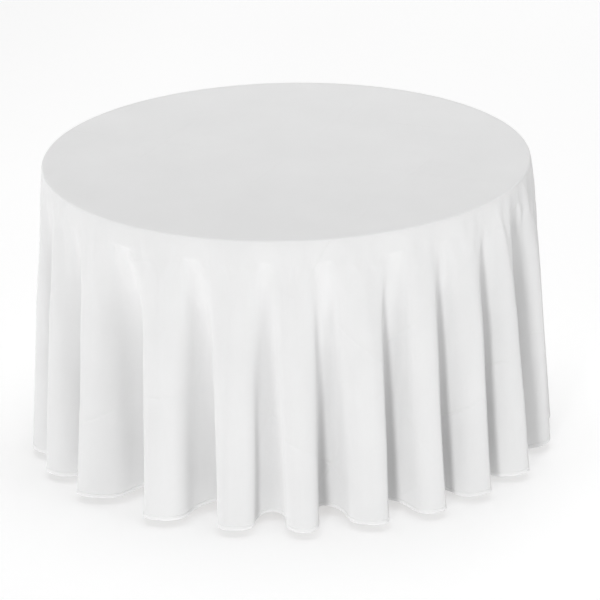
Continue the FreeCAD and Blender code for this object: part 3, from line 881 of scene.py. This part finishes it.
def moulded(name, colour, roughness, texture_scale, depth):
    """Plastic or rubber with a fine moulded skin and a little wear."""
    material = new_finish(name, colour, roughness, Specular_IOR_Level=0.4)
    skin = add_node(material, "ShaderNodeTexNoise", {
        "Vector": place_on(material, "object"), "Scale": texture_scale, "Detail": 3.0,
    }).outputs["Fac"]
    wear = add_node(material, "ShaderNodeTexNoise", {
        "Vector": place_on(material, "object"), "Scale": 25.0, "Detail": 4.0,
    }).outputs["Fac"]
    lighter = tuple(min(1.0, 1.25 * c + 0.01) for c in colour)
    drive(material, "Base Color", shades(material, wear, colour, lighter, 0.45, 0.75))
    drive(material, "Roughness", spread(material, wear, 0.3, 0.7, roughness - 0.06, roughness + 0.08))
    drive(material, "Normal", bump(material, skin, 0.25, depth))
    return material


edge_vinyl = moulded("edge_vinyl", (0.045, 0.028, 0.018), 0.42, 900.0, 0.0001)
nylon = moulded("nylon", (0.76, 0.74, 0.68), 0.45, 500.0, 0.0001)
cap_plastic = moulded("end_cap_plastic", (0.02, 0.02, 0.021), 0.5, 1200.0, 0.0001)
foot_rubber = moulded("foot_rubber", (0.025, 0.025, 0.026), 0.75, 800.0, 0.0002)
print("wood, laminate and plastics ready")


# %% Coated and plated steel
def steel(name, dark, light, roughness, metallic, peel_scale, peel_depth):
    material = new_finish(name, light, roughness, Metallic=metallic)
    peel = add_node(material, "ShaderNodeTexNoise", {
        "Vector": place_on(material, "object"), "Scale": peel_scale, "Detail": 2.0,
    }).outputs["Fac"]
    handled = add_node(material, "ShaderNodeTexNoise", {
        "Vector": place_on(material, "object"), "Scale": 18.0, "Detail": 5.0,
    }).outputs["Fac"]
    drive(material, "Base Color", shades(material, handled, dark, light, 0.35, 0.65))
    drive(material, "Roughness", spread(material, handled, 0.3, 0.7, roughness - 0.08, roughness + 0.1))
    drive(material, "Normal", bump(material, peel, 0.2, peel_depth))
    return material


coated_steel = steel("coated_steel", (0.04, 0.042, 0.045), (0.055, 0.058, 0.062), 0.42, 0.0, 700.0, 0.0002)
zinc_steel = steel("zinc_steel", (0.5, 0.51, 0.52), (0.68, 0.68, 0.67), 0.34, 1.0, 90.0, 0.0001)

FINISHES = {
    "plywood": plywood, "bent_ply": bent_ply, "hardwood": hardwood, "laminate": laminate,
    "edge_vinyl": edge_vinyl, "nylon": nylon, "end_cap_plastic": cap_plastic, "foot_rubber": foot_rubber,
    "coated_steel": coated_steel, "zinc_steel": zinc_steel, "white_cloth": cloth_finish,
    "hem_cloth": hem_finish, "thread": thread_finish, "label_tape": label_finish,
}
slot_of = {part["node"]: part["material_slot"] for part in frame["record"]["subparts"]}
for node, made in frame["nodes"].items():
    for place in made.material_slots:
        place.material = FINISHES[slot_of[node]]
print(len(frame["nodes"]), "frame parts finished")

# %% [markdown]
# ## Floor finish
#
# A pale, matt floor of white acrylic, lit from below as in a studio, so that the shadow under the hem stays
# light. It has the slightest unevenness.

# %% Floor finish
floor_finish = new_finish(
    "studio_floor", (0.5, 0.5, 0.5), 0.9,
    Specular_IOR_Level=0.1, Emission_Color=(1, 1, 1, 1), Emission_Strength=0.56,
)
cloud = add_node(floor_finish, "ShaderNodeTexNoise", {
    "Vector": place_on(floor_finish, "object"), "Scale": 0.6, "Detail": 3.0,
}).outputs["Fac"]
FLOOR_DARK, FLOOR_LIGHT = (0.495, 0.495, 0.495), (0.505, 0.505, 0.505)
drive(floor_finish, "Base Color", shades(floor_finish, cloud, FLOOR_DARK, FLOOR_LIGHT, 0.3, 0.7))
for stage_piece in (floor, backdrop):
    stage_piece.data.materials.clear()
    stage_piece.data.materials.append(floor_finish)
print("floor ready")

# %% [markdown]
# ## Joining the cloth to the frame
#
# The sheet, its hem, its stitches and its label all move with the body called cloth, and stand for the plain
# solids of the frame.

# %% Joining the cloth to the frame
for made, node in (
    (tablecloth, "tablecloth"), (hem, "hem"), (stitches, "hem_thread"), (label, "care_label"),
):
    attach(made, "cloth")
    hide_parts(node)
